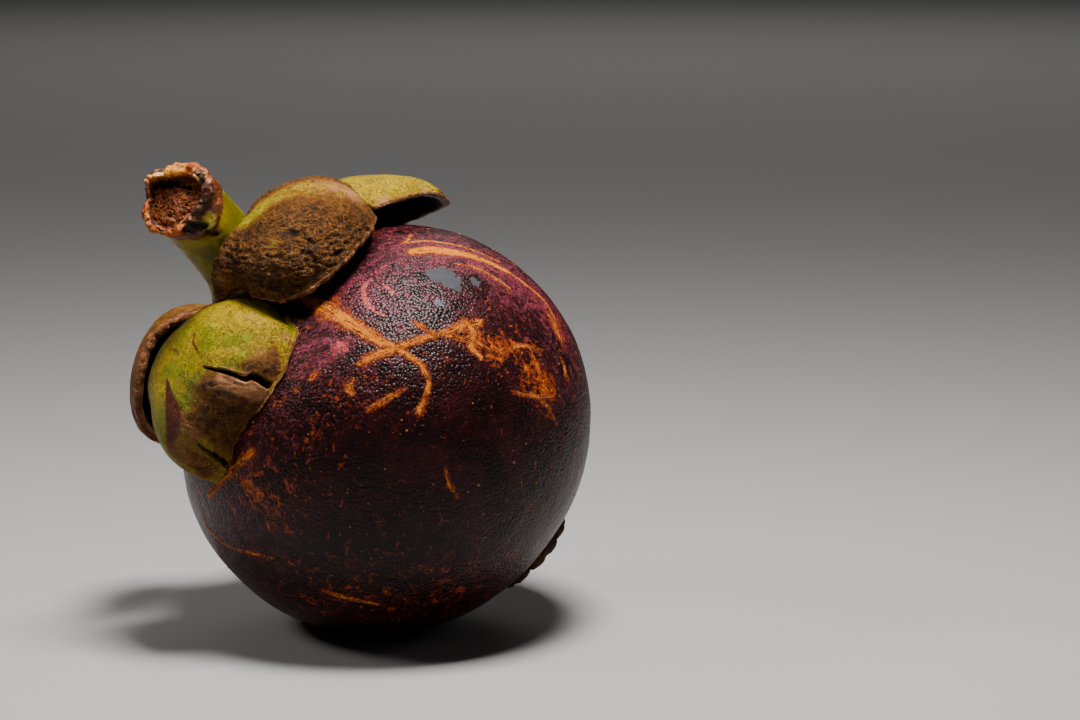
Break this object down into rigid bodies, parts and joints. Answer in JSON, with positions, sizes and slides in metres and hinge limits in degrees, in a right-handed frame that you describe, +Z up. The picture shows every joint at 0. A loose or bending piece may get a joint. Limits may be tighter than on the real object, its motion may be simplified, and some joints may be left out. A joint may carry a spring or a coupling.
{
  "type": "mangosteen",
  "caption": "Whole mangosteen fruit as picked: round leathery rind, thick hooded sepals, short green stem and woody flower-shaped stigma, lying on a small flat spot.",
  "frame": {"origin": "centre of the small flat spot that the fruit rests on", "axes": "+Z up; the stem leans towards -X and slightly towards -Y, and the fruit is seen from -Y; +X points to the side of the stigma"},
  "size_m": [0.0684, 0.0621, 0.0704],
  "materials": {
    "rind": "dark purple-brown rind, finely pebbled and half glossy, with tan and orange latex scars",
    "sepal": "yellow-green waxy skin going over to tan and brown cork",
    "stem": "olive-yellow waxy stalk with a rough brown broken end",
    "stigma": "dry dark brown woody rosette"
  },
  "bodies": {
    "root": {"rind": "rind", "stem": "stem", "sepal_front": "sepal", "sepal_left": "sepal", "sepal_top": "sepal", "sepal_back": "sepal", "stigma": "stigma"}
  },
  "joints": []
}
